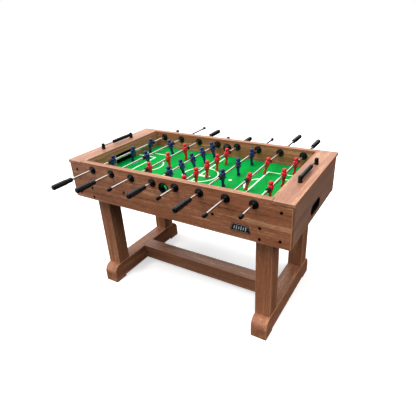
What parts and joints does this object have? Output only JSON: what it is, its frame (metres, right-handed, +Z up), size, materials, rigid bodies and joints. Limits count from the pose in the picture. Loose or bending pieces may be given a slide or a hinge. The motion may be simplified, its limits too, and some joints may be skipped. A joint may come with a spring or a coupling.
{
  "type": "foosball table",
  "caption": "Free-standing foosball table: wood-grain cabinet on two trestles, green field, sliding and turning rods with men, bead scorers and goal returns.",
  "frame": {"origin": "on the floor under the centre of the table", "axes": "+X along the table's length, +Y across it away from the side where the blue grips are, +Z up"},
  "size_m": [1.397, 1.351, 0.891],
  "materials": {
    "laminate": "satin wood-grain laminate",
    "rail_laminate": "satin wood-grain laminate",
    "inner_laminate": "satin wood-grain laminate",
    "softwood": "sawn",
    "field_green": "printed gloss laminate on board",
    "black_plastic": "moulded satin",
    "black_plate": "black anodised",
    "black_grip": "moulded satin",
    "black_rubber": "moulded matte",
    "black_steel": "black oxide",
    "zinc_steel": "zinc plated",
    "chrome": "chrome plated",
    "blue_plastic": "moulded gloss",
    "red_plastic": "moulded gloss"
  },
  "bodies": {
    "table": {"front_side_panel": "laminate", "back_side_panel": "laminate", "left_end_panel": "laminate", "right_end_panel": "laminate", "end_rails": "rail_laminate", "mounting_blocks": "softwood", "frame_bolts": "black_steel", "front_plate": "black_plate", "playfield": "field_green", "playfield_battens": "softwood", "goal_walls": "inner_laminate", "goal_boxes": "black_plastic", "ball_return_cups": "black_plastic", "ball_entry_cups": "black_plastic", "bearing_outer_halves": "black_plastic", "bearing_inner_halves": "black_plastic", "right_front_leg": "laminate", "left_front_leg": "laminate", "right_back_leg": "laminate", "left_back_leg": "laminate", "right_foot_beam": "laminate", "left_foot_beam": "laminate", "stretcher": "laminate", "trestle_studs": "zinc_steel", "scorer_posts": "black_plastic", "scorer_rods": "chrome"},
    "left_beads": {"left_score_beads": "black_plastic"},
    "right_beads": {"right_score_beads": "black_plastic"},
    "rod_1_carriage": {"rod_1_bumpers": "black_rubber"},
    "rod_1": {"rod_1_tube": "chrome", "rod_1_players": "blue_plastic", "rod_1_grip_and_cap": "black_grip"},
    "rod_2_carriage": {"rod_2_bumpers": "black_rubber"},
    "rod_2": {"rod_2_tube": "chrome", "rod_2_players": "blue_plastic", "rod_2_grip_and_cap": "black_grip"},
    "rod_3_carriage": {"rod_3_bumpers": "black_rubber"},
    "rod_3": {"rod_3_tube": "chrome", "rod_3_players": "red_plastic", "rod_3_grip_and_cap": "black_grip"},
    "rod_4_carriage": {"rod_4_bumpers": "black_rubber"},
    "rod_4": {"rod_4_tube": "chrome", "rod_4_players": "blue_plastic", "rod_4_grip_and_cap": "black_grip"},
    "rod_5_carriage": {"rod_5_bumpers": "black_rubber"},
    "rod_5": {"rod_5_tube": "chrome", "rod_5_players": "red_plastic", "rod_5_grip_and_cap": "black_grip"},
    "rod_6_carriage": {"rod_6_bumpers": "black_rubber"},
    "rod_6": {"rod_6_tube": "chrome", "rod_6_players": "blue_plastic", "rod_6_grip_and_cap": "black_grip"},
    "rod_7_carriage": {"rod_7_bumpers": "black_rubber"},
    "rod_7": {"rod_7_tube": "chrome", "rod_7_players": "red_plastic", "rod_7_grip_and_cap": "black_grip"},
    "rod_8_carriage": {"rod_8_bumpers": "black_rubber"},
    "rod_8": {"rod_8_tube": "chrome", "rod_8_players": "red_plastic", "rod_8_grip_and_cap": "black_grip"}
  },
  "joints": [
    {"name": "left_beads_slide", "type": "slide", "parent": "table", "child": "left_beads", "axis": [0, -1, 0], "range_m": [0, 0.0793]},
    {"name": "right_beads_slide", "type": "slide", "parent": "table", "child": "right_beads", "axis": [0, 1, 0], "range_m": [0, 0.0793]},
    {"name": "rod_1_slide", "type": "slide", "parent": "table", "child": "rod_1_carriage", "axis": [0, 1, 0], "range_m": [-0.0885, 0.1145]},
    {"name": "rod_1_spin", "type": "hinge", "parent": "rod_1_carriage", "child": "rod_1", "pos_m": [-0.508, 0, 0.8164], "axis": [0, 1, 0], "continuous": true},
    {"name": "rod_2_slide", "type": "slide", "parent": "table", "child": "rod_2_carriage", "axis": [0, 1, 0], "range_m": [-0.2355, 0.0855]},
    {"name": "rod_2_spin", "type": "hinge", "parent": "rod_2_carriage", "child": "rod_2", "pos_m": [-0.36286, 0, 0.8164], "axis": [0, 1, 0], "continuous": true},
    {"name": "rod_3_slide", "type": "slide", "parent": "table", "child": "rod_3_carriage", "axis": [0, 1, 0], "range_m": [-0.081, 0.122]},
    {"name": "rod_3_spin", "type": "hinge", "parent": "rod_3_carriage", "child": "rod_3", "pos_m": [-0.21771, 0, 0.8164], "axis": [0, 1, 0], "continuous": true},
    {"name": "rod_4_slide", "type": "slide", "parent": "table", "child": "rod_4_carriage", "axis": [0, 1, 0], "range_m": [-0.0765, 0.0225]},
    {"name": "rod_4_spin", "type": "hinge", "parent": "rod_4_carriage", "child": "rod_4", "pos_m": [-0.07257, 0, 0.8164], "axis": [0, 1, 0], "continuous": true},
    {"name": "rod_5_slide", "type": "slide", "parent": "table", "child": "rod_5_carriage", "axis": [0, 1, 0], "range_m": [-0.0045, 0.0945]},
    {"name": "rod_5_spin", "type": "hinge", "parent": "rod_5_carriage", "child": "rod_5", "pos_m": [0.07257, 0, 0.8164], "axis": [0, 1, 0], "continuous": true},
    {"name": "rod_6_slide", "type": "slide", "parent": "table", "child": "rod_6_carriage", "axis": [0, 1, 0], "range_m": [-0.1585, 0.0445]},
    {"name": "rod_6_spin", "type": "hinge", "parent": "rod_6_carriage", "child": "rod_6", "pos_m": [0.21771, 0, 0.8164], "axis": [0, 1, 0], "continuous": true},
    {"name": "rod_7_slide", "type": "slide", "parent": "table", "child": "rod_7_carriage", "axis": [0, 1, 0], "range_m": [-0.1755, 0.1455]},
    {"name": "rod_7_spin", "type": "hinge", "parent": "rod_7_carriage", "child": "rod_7", "pos_m": [0.36286, 0, 0.8164], "axis": [0, 1, 0], "continuous": true},
    {"name": "rod_8_slide", "type": "slide", "parent": "table", "child": "rod_8_carriage", "axis": [0, 1, 0], "range_m": [-0.1145, 0.0885]},
    {"name": "rod_8_spin", "type": "hinge", "parent": "rod_8_carriage", "child": "rod_8", "pos_m": [0.508, 0, 0.8164], "axis": [0, 1, 0], "continuous": true}
  ]
}
